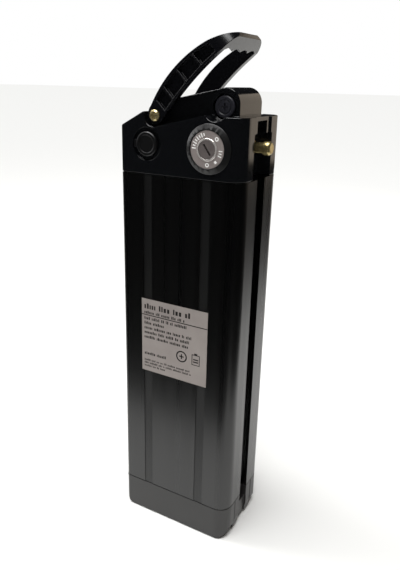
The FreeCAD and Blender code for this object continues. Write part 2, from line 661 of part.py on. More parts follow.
def make_lock_face():
    ring = turned("lock_face", tube_profile("ring_radius+0.05", "face_radius", "0", "face_thick"))
    return stand(ring, "-Y", "lock_place", FACE_Y + "+0.4+face_thick", LOCK_Z)


def make_lock_housing():
    """Zinc lock body: a raised front rim, a flange behind the face ring and a long barrel case."""
    bore = "(barrel_radius+bore_gap)"
    body = turned("lock_housing", [
        (bore, "-(housing_length)"), ("housing_radius", "-(housing_length)"), ("housing_radius", "0"),
        ("face_radius", "0"), ("face_radius", "bezel_proud-0.4-face_thick"),
        ("ring_radius", "bezel_proud-0.4-face_thick"), ("ring_radius", "bezel_proud"),
        ("ring_radius-0.5", "bezel_proud+0.5"), (bore, "bezel_proud+0.5")])
    return stand(body, "-Y", "lock_place", "-" + NEAR, LOCK_Z)


def make_lock_nut():
    """Thin ring nut that pulls the lock body against the inside of the cap."""
    inner = "(housing_radius+0.02)"
    nut = turned("lock_nut", tube_profile(inner, "housing_radius+2.2", "0", "3"))
    return stand(nut, "+Y", "lock_place", "-%s+6.5" % NEAR, LOCK_Z)


def make_lock_barrel():
    """The turning plug with its key slot."""
    tail = "(housing_length+0.6)"
    body = turned("lock_barrel", [
        ("0", "-" + tail), ("barrel_radius", "-" + tail), ("barrel_radius", "bezel_proud-0.1"),
        ("barrel_radius-0.4", "bezel_proud+0.2"), ("0", "bezel_proud+0.2")])
    half = "(key_slot/2)"
    across = "(%s*cos(key_angle))" % half
    down = "(%s*sin(key_angle))" % half
    off_x = "(0.75*sin(key_angle))"
    off_y = "(0.75*cos(key_angle))"
    slot = body_sketch(body, "XY", "bezel_proud+0.2", path, [
        ("-%s+%s" % (across, off_x), "-%s-%s" % (down, off_y)),
        ("%s+%s" % (across, off_x), "%s-%s" % (down, off_y)),
        ("%s-%s" % (across, off_x), "%s+%s" % (down, off_y)),
        ("-%s-%s" % (across, off_x), "-%s+%s" % (down, off_y))])
    pocket(body, slot, "7", backwards=True)
    return stand(body, "-Y", "lock_place", "-" + NEAR, LOCK_Z)


CAM_Y = "(-depth/2+housing_length+0.6)"
CRANK_X = "(lock_place+crank*cos(45))"
CRANK_Z = "(%s+crank*cos(45))" % LOCK_Z


def make_lock_cam():
    """Disc on the barrel's tail with the crank pin that drives the bolt."""
    disc = cylinder("XZ", CAM_Y, "2.2", "lock_place", LOCK_Z, "crank+crank_pin+0.8")
    pin = cylinder("XZ", CAM_Y + "+1", "5.4", CRANK_X, CRANK_Z, "crank_pin")
    return fuse([disc, pin], "lock_cam")


def make_lock_bolt():
    """Brass bolt along X with a slotted yoke at its inner end."""
    tip_x = "(%s+bolt_reach)" % RAIL
    bar_start = "(lock_place+crank+crank_pin+4)"
    bar = cylinder("YZ", bar_start, "(%s-%s-bolt_tip+0.5)" % (tip_x, bar_start), "0", LOCK_Z, "bolt_radius")
    tip = turned("bolt_tip", [
        ("0", "-bolt_tip"), ("bolt_tip_radius-0.6", "-bolt_tip"), ("bolt_tip_radius", "-bolt_tip+0.6"),
        ("bolt_tip_radius", "-bolt_chamfer"), ("bolt_tip_radius-bolt_chamfer*0.8", "0"), ("0", "0")])
    stand(tip, "+X", tip_x, "0", LOCK_Z)
    plate_front = CAM_Y + "+2.9"
    plate_back = CAM_Y + "+6.0"
    plate = block(CRANK_X + "-crank_pin-3.2", bar_start + "+4", plate_front, plate_back,
                  LOCK_Z + "-crank", LOCK_Z + "+crank+crank_pin+3")
    root = block(bar_start, bar_start + "+4", plate_front, "bolt_radius", LOCK_Z + "-crank",
                 LOCK_Z + "+crank")
    slot = block(CRANK_X + "-crank_pin-yoke_gap", CRANK_X + "+crank_pin+yoke_gap", plate_front + "-1",
                 plate_back + "+1", CRANK_Z + "-crank_pin-yoke_gap-0.2",
                 LOCK_Z + "+crank+crank_pin+yoke_gap")
    return cut(fuse([bar, tip, plate, root]), [slot], "lock_bolt")


def make_bolt_bush():
    """Brass bush pressed into the channel's back wall."""
    bush = turned("bolt_bush", tube_profile("bolt_radius+bore_gap", "bush_radius", "0", "cap_wall"))
    return stand(bush, "+X", RAIL + "-channel_depth-cap_wall", "0", LOCK_Z)


# ---------------------------------------------------------------- charge socket and fuse

SINK_Y = "(-depth/2+port_sink)"


def make_charge_socket():
    bore = "socket_bore"
    body = turned("charge_socket", [
        ("0", "-socket_length"), ("socket_radius-1", "-socket_length"), ("socket_radius-1", "-6"),
        ("socket_radius", "-6"), ("socket_radius", "0"), (bore, "0"), (bore, "-socket_length+5"),
        ("0", "-socket_length+5")])
    return stand(body, "-Y", "port_place", SINK_Y, PORT_Z)


def make_charge_pin():
    pin = turned("charge_contact", [
        ("0", "0"), ("1.2", "0"), ("1.2", "socket_length-8"), ("0.7", "socket_length-7"),
        ("0", "socket_length-7")])
    return stand(pin, "-Y", "port_place", SINK_Y + "+socket_length-5", PORT_Z)


def make_charge_nut():
    nut = turned("charge_socket_nut", tube_profile("socket_radius-1", "socket_radius+2.2", "0", "3"))
    return stand(nut, "+Y", "port_place", SINK_Y + "+7", PORT_Z)


def make_port_cover():
    """Rubber flap: a dished disc with a stem, and a tab at the hinge end."""
    front = "(port_sink+cover_proud)"
    disc = turned("cover_disc", [
        ("0", "-1"), ("socket_bore-1.2", "-1"), ("socket_bore-1.0", "0.1"), ("cover_radius", "0.1"),
        ("cover_radius", front + "-0.8"), ("cover_radius-0.8", front),
        ("cover_radius-2.6", front), ("cover_radius-3", front + "-0.4"), ("0", front + "-0.4")])
    stand(disc, "-Y", "port_place", SINK_Y, PORT_Z)
    tab = block("port_place-port_recess+0.6", "port_place-cover_radius+1.5", SINK_Y + "-1.6",
                SINK_Y + "-0.3", PORT_Z + "-3", PORT_Z + "+3")
    return fuse([disc, tab], "charge_port_cover")


def make_fuse_parts():
    """Holder, glass cartridge with two caps, spring and the quarter-turn cap."""
    seat = FUSE_FRONT + "+3.4"
    holder = turned("fuse_holder", [
        ("0", "-fuse_length"), ("fuse_body_radius", "-fuse_length"), ("fuse_body_radius", "0"),
        ("4.2", "0"), ("4.2", "-fuse_length+1.5"), ("0", "-fuse_length+1.5")])
    stand(holder, "-Y", "fuse_place", seat, FUSE_Z)
    glass = turned("fuse_glass", [("0", "5.5"), ("3.0", "5.5"), ("3.0", "24.5"), ("0", "24.5")])
    stand(glass, "-Y", "fuse_place", seat + "+fuse_length-1.5", FUSE_Z)
    ends = []
    for low in ("0", "24.5"):
        end = turned("fuse_end", [("0", low), ("3.2", low), ("3.2", low + "+5.5"), ("0", low + "+5.5")])
        ends.append(stand(end, "-Y", "fuse_place", seat + "+fuse_length-1.5", FUSE_Z))
    cap = turned("fuse_knob", [
        ("0", "-2.4"), ("2", "-2.4"), ("2", "0.3"), ("fuse_cap_radius", "0.3"), ("fuse_cap_radius", "2.6"),
        ("fuse_cap_radius-0.7", "3.2"), ("fuse_disc_radius+1.3", "3.2"), ("fuse_disc_radius+0.6", "2.5"),
        ("fuse_disc_radius", "2.5"), ("fuse_disc_radius", "2.9"), ("0", "2.9")])
    arm = "2.9"
    bar = "0.6"
    cross = body_sketch(cap, "XY", "2.9", path, [
        ("-" + arm, "-" + bar), ("-" + bar, "-" + bar), ("-" + bar, "-" + arm), (bar, "-" + arm),
        (bar, "-" + bar), (arm, "-" + bar), (arm, bar), (bar, bar), (bar, arm), ("-" + bar, arm),
        ("-" + bar, bar), ("-" + arm, bar)])
    pocket(cap, cross, "1.3", backwards=True)
    stand(cap, "-Y", "fuse_place", seat, FUSE_Z)
    relabel(cap, "fuse_cap")
    return [holder, glass, group(ends, "fuse_end_caps"), cap]


# ---------------------------------------------------------------- cells and electronics

CELL_Z = "(bottom_height+cell_base+cell_pitch/2)"
CELL_X = "(cell_shift-(cell_columns-1)*cell_pitch/2)"


def cell_places():
    for row_index in range(int(number("cell_rows"))):
        for column in range(int(number("cell_columns"))):
            yield ("%s+%d*cell_pitch" % (CELL_X, column), "%s+%d*cell_pitch" % (CELL_Z, row_index))


def rods(radius, start, length):
    """One cylinder along Y at every cell's place."""
    items = []
    for across, up in cell_places():
        rod = doc.addObject("Part::Cylinder", "rod")
        rod.Placement = FreeCAD.Placement(FreeCAD.Vector(), TURNS["+Y"])
        bind(rod, "Radius", radius)
        bind(rod, "Height", length)
        bind(rod, "Placement.Base.x", across)
        bind(rod, "Placement.Base.y", start)
        bind(rod, "Placement.Base.z", up)
        items.append(rod)
    return items


def make_cells():
    return group(rods("cell_radius", "-cell_length/2", "cell_length"), "battery_cells")


def make_holder(label, front, back):
    """A moulded frame that grips one end of every cell."""
    margin = "(cell_radius+0.5)"
    frame = block(CELL_X + "-" + margin, CELL_X + "+(cell_columns-1)*cell_pitch+" + margin, front, back,
                  CELL_Z + "-" + margin, CELL_Z + "+(cell_rows-1)*cell_pitch+" + margin)
    holes = rods("cell_radius+cell_gap", front + "-1", "(%s)-(%s)+2" % (back, front))
    return cut(frame, [group(holes, "cell_holes")], label)


def make_strips(label, start, spans):
    """Nickel plates over the cell ends; each span is (first row, last row)."""
    plates = []
    for first, last in spans:
        plates.append(block(CELL_X + "-6", CELL_X + "+(cell_columns-1)*cell_pitch+6", start,
                            "(%s)+strip_thick" % start, "%s+%d*cell_pitch-6" % (CELL_Z, first),
                            "%s+%d*cell_pitch+6" % (CELL_Z, last)))
    return group(plates, label)


def make_sheet(label, start):
    return block(CELL_X + "-9", CELL_X + "+(cell_columns-1)*cell_pitch+9", start, "(%s)+sheet_thick" % start,
                 CELL_Z + "-9", CELL_Z + "+(cell_rows-1)*cell_pitch+9", label)


def make_board_parts():
    """Protection board with its transistors, their cooling plate and the balance plug."""
    left = "(cell_shift-board_width/2)"
    right = "(cell_shift+board_width/2)"
    board = block(left, right, "0", "board_thick", BOARD_BASE, BOARD_BASE + "+board_height", "bms_board")
    chips = [block("%s+%d*8.6+5" % (left, step), "%s+%d*8.6+11.4" % (left, step), "-2.4", "0",
                   BOARD_BASE + "+6", BOARD_BASE + "+15") for step in range(8)]
    plate = block(left + "+3", right + "-3", "-5.4", "-2.4", BOARD_BASE + "+4", BOARD_BASE + "+17")
    fins = [block(left + "+3", right + "-3", "-12", "-5.2", "%s+%d*4+4" % (BOARD_BASE, step),
                  "%s+%d*4+5.2" % (BOARD_BASE, step)) for step in range(4)]
    plug = block("cell_shift-14", "cell_shift+16", "-6.5", "0", BOARD_BASE + "+board_height-12",
                 BOARD_BASE + "+board_height-6", "balance_connector")
    return [board, group(chips, "bms_transistors"), fuse([plate] + fins, "bms_heat_sink"), plug]


def bent_path(corners, bend):
    """A wire through the corners, each inner corner replaced by an arc."""
    points = [FreeCAD.Vector(*[number(value) for value in corner]) for corner in corners]
    pieces = []
    start = points[0]
    for before, corner, after in zip(points, points[1:], points[2:]):
        inward = (before - corner).normalize()
        outward = (after - corner).normalize()
        first = corner + inward * bend
        last = corner + outward * bend
        middle = corner + (inward + outward) * bend * (1 - math.sqrt(0.5))
        pieces += [Part.LineSegment(start, first), Part.Arc(first, middle, last)]
        start = last
    pieces.append(Part.LineSegment(start, points[-1]))
    return Part.Wire([piece.toShape() for piece in pieces])


def make_lead(label, side, height, blade):
    """A round lead: off the board, down the free corner, under the cells and in to a blade."""
    lane = side + "lead_lane"
    low = "plug_height+3"
    start = "cell_shift+30"
    spine = bent_path([
        (start, side + "2", height), (start, lane, height), ("lead_side", lane, height),
        ("lead_side", lane, low), (blade, lane, low), (blade, side + "2", low)], number("lead_bend"))
    radius = number("lead_radius")
    ring = Part.Wire([Part.Circle(spine.Vertexes[0].Point, FreeCAD.Vector(0, 1, 0), radius).toShape()])
    lead = doc.addObject("Part::Feature", label)
    lead.Shape = spine.makePipeShell([ring], True, False)
    lead.Placement = FreeCAD.Placement()
    if abs(lead.Shape.Volume - math.pi * radius * radius * spine.Length) > 0.02 * lead.Shape.Volume:
        raise RuntimeError("%s has the wrong volume" % label)
    return lead


def make_discharge_parts():
    """The socket in the base that the bicycle's plug enters, and its three blades."""
    gap = "0.1"
    outer = block("plug_place-plug_width/2+" + gap, "plug_place+plug_width/2-" + gap, "-plug_depth/2+" + gap,
                  "plug_depth/2-" + gap, "0.6", "plug_height+1")
    room = block("plug_place-plug_width/2+3", "plug_place+plug_width/2-3", "-plug_depth/2+3",
                 "plug_depth/2-3", "-1", "plug_height-2")
    blades, seats = [
        [block("plug_place+%d-blade_thick/2" % place, "plug_place+%d+blade_thick/2" % place, "-3", "3",
               "3", "plug_height-1.5") for place in (-12, 0, 12)] for _ in range(2)]
    return [cut(outer, [room] + seats, "discharge_socket"), group(blades, "discharge_blades")]


def make_case_screws(label, height):
    """The two left-hand and the two rear screws of one cap."""
    items = []
    for place in ("-20", "20"):
        item = screw("side_screw", "case_screw", "case_screw_head", "1.4", "case_screw_length")
        items.append(stand(item, "-X", "-width/2", place, height))
    for place in ("-36", "30"):
        item = screw("rear_screw", "case_screw", "case_screw_head", "1.4", "case_screw_length")
        items.append(stand(item, "+Y", place, NEAR, height))
    return group(items, label)


# ---------------------------------------------------------------- assembly

def build():
    holder_front = "-cell_length/2+0.4"
    holder_back = "cell_length/2-holder_thick-0.4"
    pivots = [make_pivot(side) for side in ("-Y", "+Y")]
    label_low = "bottom_height+label_base"
    parts = [make_case_tube(), make_top_cap(), make_bottom_cap()]
    parts += [make_gasket("top_gasket", SEAM_HIGH), make_gasket("bottom_gasket", SEAM_LOW)]
    parts += [make_handle(), group([pair[0] for pair in pivots], "handle_pivot_sleeves"),
              group([pair[1] for pair in pivots], "handle_pivot_screws")]
    parts += [make_lock_bezel(), make_lock_face(), make_lock_housing(), make_lock_nut(),
              make_lock_barrel(), make_lock_cam(), make_lock_bolt(), make_bolt_bush()]
    parts += [make_charge_socket(), make_charge_pin(), make_charge_nut(), make_port_cover()]
    parts += make_fuse_parts()
    parts += [block("label_place-label_width/2", "label_place+label_width/2", "-depth/2-label_thick",
                    "-depth/2", label_low, label_low + "+label_height", "rating_label")]
    parts += [make_case_screws("top_cap_screws", SEAM_HIGH + "-screw_setback"),
              make_case_screws("bottom_cap_screws", SEAM_LOW + "+screw_setback")]
    parts += [make_cells()]
    parts += [make_holder("cell_holder_front", holder_front, holder_front + "+holder_thick"),
              make_holder("cell_holder_rear", holder_back, holder_back + "+holder_thick")]
    rows = int(number("cell_rows"))
    pairs = [(first, first + 1) for first in range(0, rows - 1, 2)]
    offset_pairs = [(0, 0)] + [(first, first + 1) for first in range(1, rows - 2, 2)] + [(rows - 1, rows - 1)]
    parts += [make_strips("nickel_strips_front", "-cell_length/2-strip_thick", pairs),
              make_strips("nickel_strips_rear", "cell_length/2", offset_pairs)]
    parts += [make_sheet("insulating_sheet_front", "-cell_length/2-strip_thick-sheet_thick-0.1"),
              make_sheet("insulating_sheet_rear", "cell_length/2+strip_thick+0.1")]
    pad_left = CELL_X + "-6"
    pad_right = CELL_X + "+(cell_columns-1)*cell_pitch+6"
    low_pad = CELL_Z + "-cell_radius-0.6-pad_thick"
    high_pad = CELL_Z + "+(cell_rows-1)*cell_pitch+cell_radius+0.6"
    parts += [block(pad_left, pad_right, "-28", "28", low_pad, low_pad + "+pad_thick", "foam_pad_bottom"),
              block(pad_left, pad_right, "-28", "28", high_pad, high_pad + "+pad_thick", "foam_pad_top")]
    parts += make_board_parts()
    parts += make_discharge_parts()
    parts += [make_lead("positive_lead", "+", BOARD_BASE + "+20", "plug_place+12"),
              make_lead("negative_lead", "-", BOARD_BASE + "+30", "plug_place-12")]
    return parts


parts = build()
doc.recompute()

for item in doc.Objects:
    if "Invalid" in item.State or "Error" in item.State:
        raise RuntimeError("%s (%s) is in state %s" % (item.Label, item.TypeId, item.State))
for part in parts:
    if part.Shape.isNull() or not part.Shape.isValid():
        raise RuntimeError("%s has no valid shape" % part.Label)
for part in parts:
    part.Shape.exportStep("parts/%s.step" % part.Label)
    box = part.Shape.BoundBox
    print("%-24s %2d solids  x %7.2f %7.2f  y %7.2f %7.2f  z %7.2f %7.2f" % (
        part.Label, len(part.Shape.Solids), box.XMin, box.XMax, box.YMin, box.YMax, box.ZMin, box.ZMax))
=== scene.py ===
import math
import random

import bmesh
import bpy
from mathutils import Matrix, Vector


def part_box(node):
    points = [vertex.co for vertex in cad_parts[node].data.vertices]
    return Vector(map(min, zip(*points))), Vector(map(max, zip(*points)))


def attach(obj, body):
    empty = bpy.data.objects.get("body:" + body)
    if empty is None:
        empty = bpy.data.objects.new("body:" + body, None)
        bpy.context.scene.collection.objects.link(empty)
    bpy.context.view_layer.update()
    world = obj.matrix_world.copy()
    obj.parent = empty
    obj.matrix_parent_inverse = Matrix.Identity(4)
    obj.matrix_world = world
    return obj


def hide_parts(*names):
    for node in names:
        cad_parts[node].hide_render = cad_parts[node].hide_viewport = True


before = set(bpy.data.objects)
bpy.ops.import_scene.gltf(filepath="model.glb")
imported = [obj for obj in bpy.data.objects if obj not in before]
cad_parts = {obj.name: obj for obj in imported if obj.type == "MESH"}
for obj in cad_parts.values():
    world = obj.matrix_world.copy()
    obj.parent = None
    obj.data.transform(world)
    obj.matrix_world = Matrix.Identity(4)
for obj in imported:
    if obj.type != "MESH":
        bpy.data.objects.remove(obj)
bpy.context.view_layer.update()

# ---------------------------------------------------------------- camera
# A portrait view of the lock side and the rail side, from a little above the top cap. The
# eye is about half a metre away, with a slight roll, as in a hand-held view.

eye = Vector((0.22632, -0.41647, 0.40568))
heading, dip, roll = math.radians(28.76), math.radians(18.5), math.radians(1.32)
sight = Vector((-math.sin(heading) * math.cos(dip), math.cos(heading) * math.cos(dip), -math.sin(dip)))
level = Vector((math.cos(heading), math.sin(heading), 0.0))
upright = level.cross(sight)
across = level * math.cos(roll) + upright * math.sin(roll)
upward = upright * math.cos(roll) - level * math.sin(roll)
camera_data = bpy.data.cameras.new("camera")
camera = bpy.data.objects.new("camera", camera_data)
turn = Matrix((across, upward, -sight)).transposed().to_4x4()
camera.matrix_world = Matrix.Translation(eye) @ turn
camera_data.lens = 35.42
camera_data.sensor_width = 36.0
camera_data.shift_x = 0.0068
camera_data.shift_y = -0.0263
camera_data.clip_start = 0.01
bpy.context.scene.collection.objects.link(camera)
bpy.context.scene.camera = camera
bpy.context.scene.view_settings.view_transform = "Standard"

# ---------------------------------------------------------------- floor and light
# A white painted table top with a matching white surround, lit evenly from above. Only the
# table shows in glossy surfaces: beyond its front edge the room is dark, as in a studio.


def linear(colour):
    """The linear RGBA of an sRGB hex colour."""
    values = [int(colour[place:place + 2], 16) / 255 for place in (1, 3, 5)]
    curve = [v / 12.92 if v <= 0.04045 else ((v + 0.055) / 1.055) ** 2.4 for v in values]
    return (*curve, 1.0)


def add_node(tree, kind, settings=None, **links):
    """A new node. Each link is a socket's name, or _ and its number, with a value, a hex colour,
    a socket to join it to, or a node whose first output it takes."""
    node = tree.nodes.new(kind)
    for name, value in (settings or {}).items():
        setattr(node, name, value)
    for name, value in links.items():
        socket = node.inputs[int(name[1:])] if name[1:].isdigit() else node.inputs[name.replace("_", " ")]
        if isinstance(value, bpy.types.Node):
            value = value.outputs[0]
        if isinstance(value, bpy.types.NodeSocket):
            tree.links.new(value, socket)
        else:
            socket.default_value = linear(value) if isinstance(value, str) else value
    return node


def new_material(name):
    """A material with only its output node, and the tree to build in."""
    material = bpy.data.materials.new(name)
    material.use_nodes = True
    material.node_tree.nodes.clear()
    return material, material.node_tree


def finish_material(tree, shader):
    add_node(tree, "ShaderNodeOutputMaterial", Surface=shader)


def keep_mesh(name, work):
    """The work mesh as a linked object at the origin."""
    data = bpy.data.meshes.new(name)
    work.to_mesh(data)
    work.free()
    piece = bpy.data.objects.new(name, data)
    bpy.context.scene.collection.objects.link(piece)
    return piece


def table_top(name, corners, seen_in_gloss):
    low, high = corners
    work = bmesh.new()
    bmesh.ops.create_grid(work, x_segments=1, y_segments=1, size=0.5)
    bmesh.ops.scale(work, vec=(high[0] - low[0], high[1] - low[1], 1), verts=work.verts)
    middle = ((low[0] + high[0]) / 2, (low[1] + high[1]) / 2, low[2])
    bmesh.ops.translate(work, vec=middle, verts=work.verts)
    piece = keep_mesh(name, work)
    piece.visible_glossy = seen_in_gloss
    return piece


floor_paint, tree = new_material("white table paint")
# Rolled paint has a broad orange peel, which only shows as a slight change of gloss.
spot = add_node(tree, "ShaderNodeTexCoord")
peel = add_node(tree, "ShaderNodeTexNoise", Vector=spot.outputs["Object"], Scale=60.0, Detail=3.0)
gloss = add_node(tree, "ShaderNodeMapRange", Value=peel, To_Min=0.75, To_Max=0.85)
finish_material(tree, add_node(tree, "ShaderNodeBsdfPrincipled", Base_Color="#F6F6F4", Roughness=gloss))
for piece in (
    table_top("table", ((-1.6, -0.20, -0.0004), (0.30, 2.4)), True),
    table_top("surround", ((-30, -30, -0.0008), (30, 30)), False),
):
    piece.data.materials.append(floor_paint)

world = bpy.data.worlds.new("studio")
bpy.context.scene.world = world
world.use_nodes = True
tree = world.node_tree
tree.nodes.clear()
ray = add_node(tree, "ShaderNodeLightPath")
pale = add_node(tree, "ShaderNodeBackground", Color="#FFFFFF", Strength=1.0)
dim = add_node(tree, "ShaderNodeBackground", Color="#8F9194", Strength=0.05)
mixed = add_node(tree, "ShaderNodeMixShader", _0=ray.outputs["Is Camera Ray"], _1=dim, _2=pale)
add_node(tree, "ShaderNodeOutputWorld", Surface=mixed)

daylight = bpy.data.lights.new("overhead light", "SUN")
daylight.energy = 3.4
daylight.angle = math.radians(48)
overhead = bpy.data.objects.new("overhead light", daylight)
overhead.matrix_world = Matrix.Rotation(math.radians(12), 4, "X")
bpy.context.scene.collection.objects.link(overhead)


def soft_box(name, place, target, size, power, tint):
    lamp = bpy.data.lights.new(name, "AREA")
    lamp.shape = "RECTANGLE"
    lamp.size, lamp.size_y = size
    lamp.energy = power
    lamp.color = linear(tint)[:3]
    holder = bpy.data.objects.new(name, lamp)
    aim = (Vector(target) - Vector(place)).to_track_quat("-Z", "Y").to_matrix().to_4x4()
    holder.matrix_world = Matrix.Translation(place) @ aim
    holder.visible_camera = False
    bpy.context.scene.collection.objects.link(holder)


soft_box("upper left box", (-0.58, -0.12, 1.45), (0, 0, 0.4), (0.35, 0.35), 6, "#FFFFFF")
soft_box("left box", (-1.5, -0.3, 0.9), (0, 0, 0.2), (0.5, 1.2), 6, "#FFFFFF")
soft_box("warm back box", (0.75, 1.5, 0.62), (0, 0, 0.42), (1.3, 1.0), 4, "#F2E2CE")

# ---------------------------------------------------------------- case tube
# Extruded aluminium, black anodised, with two shallow bands down each wide face and an
# undercut rail channel. The die leaves fine straight lines along it; the dye is near black.


def paint_node(node, material):
    """Gives a CAD node a material in every slot."""
    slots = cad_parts[node].material_slots
    if not slots:
        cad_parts[node].data.materials.append(material)
    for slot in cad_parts[node].material_slots:
        slot.material = material


def pattern(tree, kind, size, **settings):
    """A texture on object coordinates whose grain is size millimetres, or (x, y, z) of them."""
    grain = size if isinstance(size, tuple) else (size,) * 3
    place = add_node(tree, "ShaderNodeTexCoord")
    scaled = add_node(tree, "ShaderNodeMapping", Vector=place.outputs["Object"],
                      Scale=tuple(1000 / length for length in grain))
    return add_node(tree, kind, Vector=scaled, Scale=1.0, **settings)


extrusion, tree = new_material("black anodised extruded aluminium")
# Die lines 1 mm apart and as long as the tube, with broader streaks in the dye.
die_lines = pattern(tree, "ShaderNodeTexNoise", (1.1, 1.1, 400), Detail=3.0)
streaks = pattern(tree, "ShaderNodeTexNoise", (7, 7, 1500), Detail=2.0)
dye = add_node(tree, "ShaderNodeMix", {"data_type": "RGBA"}, _0=streaks, _6="#010101", _7="#040404")
# The sunk bands miss the last polishing pass, so they are duller than the faces.
band_middles, band_half_width = (-0.029, 0.0252), 0.0043
spot = add_node(tree, "ShaderNodeTexCoord")
sideways = add_node(tree, "ShaderNodeSeparateXYZ", Vector=spot.outputs["Object"])
in_bands = [add_node(tree, "ShaderNodeMath", {"operation": "COMPARE"}, _0=sideways, _1=band_middle,
                     _2=band_half_width) for band_middle in band_middles]
either = add_node(tree, "ShaderNodeMath", {"operation": "ADD"}, _0=in_bands[0], _1=in_bands[1])
polish = add_node(tree, "ShaderNodeMapRange", Value=streaks, To_Min=0.22, To_Max=0.36)
gloss = add_node(tree, "ShaderNodeMath", {"operation": "MULTIPLY_ADD"}, _0=either, _1=0.22, _2=polish)
relief = add_node(tree, "ShaderNodeBump", Height=die_lines, Strength=0.25, Distance=0.00005)
finish_material(tree, add_node(tree, "ShaderNodeBsdfPrincipled", Base_Color=dye.outputs[2], Roughness=gloss,
                               IOR=1.60, Normal=relief))
paint_node("case_tube", extrusion)

# ---------------------------------------------------------------- top cap
# One ABS moulding from a polished tool, so it is near mirror bright, with slightly wavy
# faces where the walls sank. Its arrises are rounded by a few tenths of a millimetre.


def cover(tree, tone, colours, bumps, rough, depth_mm, **shader):
    """Finishes a material: its colour follows tone from the first colour to the second, and its
    roughness and relief follow bumps."""
    body = add_node(tree, "ShaderNodeMix", {"data_type": "RGBA"}, _0=tone, _6=colours[0], _7=colours[1])
    gloss = add_node(tree, "ShaderNodeMapRange", Value=bumps, To_Min=rough[0], To_Max=rough[1])
    relief = add_node(tree, "ShaderNodeBump", Height=bumps, Strength=0.5, Distance=depth_mm / 1000)
    finish_material(tree, add_node(tree, "ShaderNodeBsdfPrincipled", Base_Color=body.outputs[2],
                                   Roughness=gloss, Normal=relief, **shader))


def moulded(name, colour, rough, grain_mm, depth_mm, ior=1.53):
    """Moulded plastic or rubber: a tool texture of the given grain over slow flow marks."""
    material, tree = new_material(name)
    tool = pattern(tree, "ShaderNodeTexNoise", grain_mm, Detail=2.0)
    flow = pattern(tree, "ShaderNodeTexNoise", 22.0, Detail=3.0)
    paler = tuple(min(1.0, channel * 1.25) for channel in linear(colour))
    cover(tree, flow, (colour, paler), tool, (rough * 0.8, rough * 1.2), depth_mm, IOR=ior)
    return material


# Corner points this near are one point. The angles, in degrees, are between faces that are
# one flat face, that meet in a crease, and whose arris is rounded.
same_point = 0.000002
same_face, crease, arris = 0.5, 28, 40


def softened(node, name, body, material, width_mm, steps=2):
    """A merged copy of a CAD node with rounded arrises, which stands for the node."""
    work = bmesh.new()
    work.from_mesh(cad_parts[node].data)
    bmesh.ops.remove_doubles(work, verts=work.verts, dist=same_point)
    bmesh.ops.dissolve_limit(work, angle_limit=math.radians(same_face), verts=work.verts, edges=work.edges)
    piece = keep_mesh(name, work)
    piece.data.shade_smooth()
    piece.data.set_sharp_from_angle(angle=math.radians(crease))
    round_over = piece.modifiers.new("rounded arrises", "BEVEL")
    round_over.width = width_mm / 1000
    round_over.segments = steps
    round_over.limit_method = "ANGLE"
    round_over.angle_limit = math.radians(arris)
    round_over.use_clamp_overlap = False
    round_over.loop_slide = False
    level_faces = piece.modifiers.new("flat faces stay flat", "WEIGHTED_NORMAL")
    level_faces.keep_sharp = True
    piece.data.materials.clear()
    piece.data.materials.append(material)
    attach(piece, body)
    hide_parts(node)


cap_plastic = moulded("polished black ABS", "#0B0C0E", 0.1, 9.0, 0.02)
softened("top_cap", "top_cap_shell", "case", cap_plastic, 0.32)

# ---------------------------------------------------------------- foot
# The foot is moulded in the same ABS, from a spark-eroded tool that leaves it matt and
# slightly grey. It stands on its flat underside.

foot_plastic = moulded("spark-textured black ABS", "#201F1E", 0.38, 0.6, 0.02)
softened("bottom_cap", "foot_shell", "case", foot_plastic, 0.25)

# ---------------------------------------------------------------- gaskets
# Moulded rubber rings squeezed in both seams. Only their dull edge shows.

rubber = moulded("moulded black rubber", "#060606", 0.55, 0.4, 0.015, ior=1.50)
for node in ("top_gasket", "bottom_gasket"):
    paint_node(node, rubber)

# ---------------------------------------------------------------- carry handle
# A bowed glass-filled nylon lever with open cells and ribs on its outer faces and finger
# scallops under the grip. The polished tool leaves it glossy, with faint fibre streaks.

lever_plastic = moulded("polished black nylon", "#0A0A0D", 0.17, 4.0, 0.03)
softened("carry_handle", "handle_lever", "handle", lever_plastic, 0.3)

# ---------------------------------------------------------------- pivot screws and sleeves
# Pan head steel screws, zinc plated and yellow passivated, which gives a patchy gold with
# hints of green and red, over plain turned sleeves.


def metal(name, colour, stain, rough, grain_mm, patch_mm=4.0, bare=1.0):
    """Metal with tool marks and patches of a second tint; lacquer or haze makes it less bare."""
    material, tree = new_material(name)
    marks = pattern(tree, "ShaderNodeTexNoise", grain_mm, Detail=3.0)
    patches = pattern(tree, "ShaderNodeTexNoise", patch_mm, Detail=3.0)
    cover(tree, patches, (colour, stain), marks, (rough * 0.6, rough * 1.4), 0.01, Metallic=bare)
    return material


yellow_zinc = metal("yellow passivated zinc plate", "#EBDDB0", "#BFA968", 0.2, 0.5, 2.0, bare=0.8)
paint_node("handle_pivot_screws", yellow_zinc)
paint_node("handle_pivot_sleeves", metal("turned bright steel", "#A9A9A8", "#8C8B88", 0.25, (8, 0.2, 8)))

# ---------------------------------------------------------------- lock
# A cam lock: a satin nylon bezel round a zinc body with a polished rim, a brushed and
# nickel plated face ring, and a cast plug with a key slot. The nut and cam are in the cap.

satin_nylon = moulded("satin black nylon", "#141414", 0.34, 0.8, 0.012)
softened("lock_bezel", "lock_bezel_ring", "case", satin_nylon, 0.35, 3)
softened("lock_housing", "lock_body", "case",
         metal("polished die-cast zinc", "#E4DFDB", "#C5BFBB", 0.2, 1.2, bare=0.55), 0.12)
softened("lock_barrel", "lock_plug_body", "lock_plug",
         metal("die-cast zinc", "#867D7B", "#6B6462", 0.38, 0.4, bare=0.45), 0.15)

dial_low, dial_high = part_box("lock_face")
dial_centre = (Vector(dial_low) + Vector(dial_high)) / 2
dial_front = dial_low[1]
dial_metal, tree = new_material("circular-brushed nickel plate")
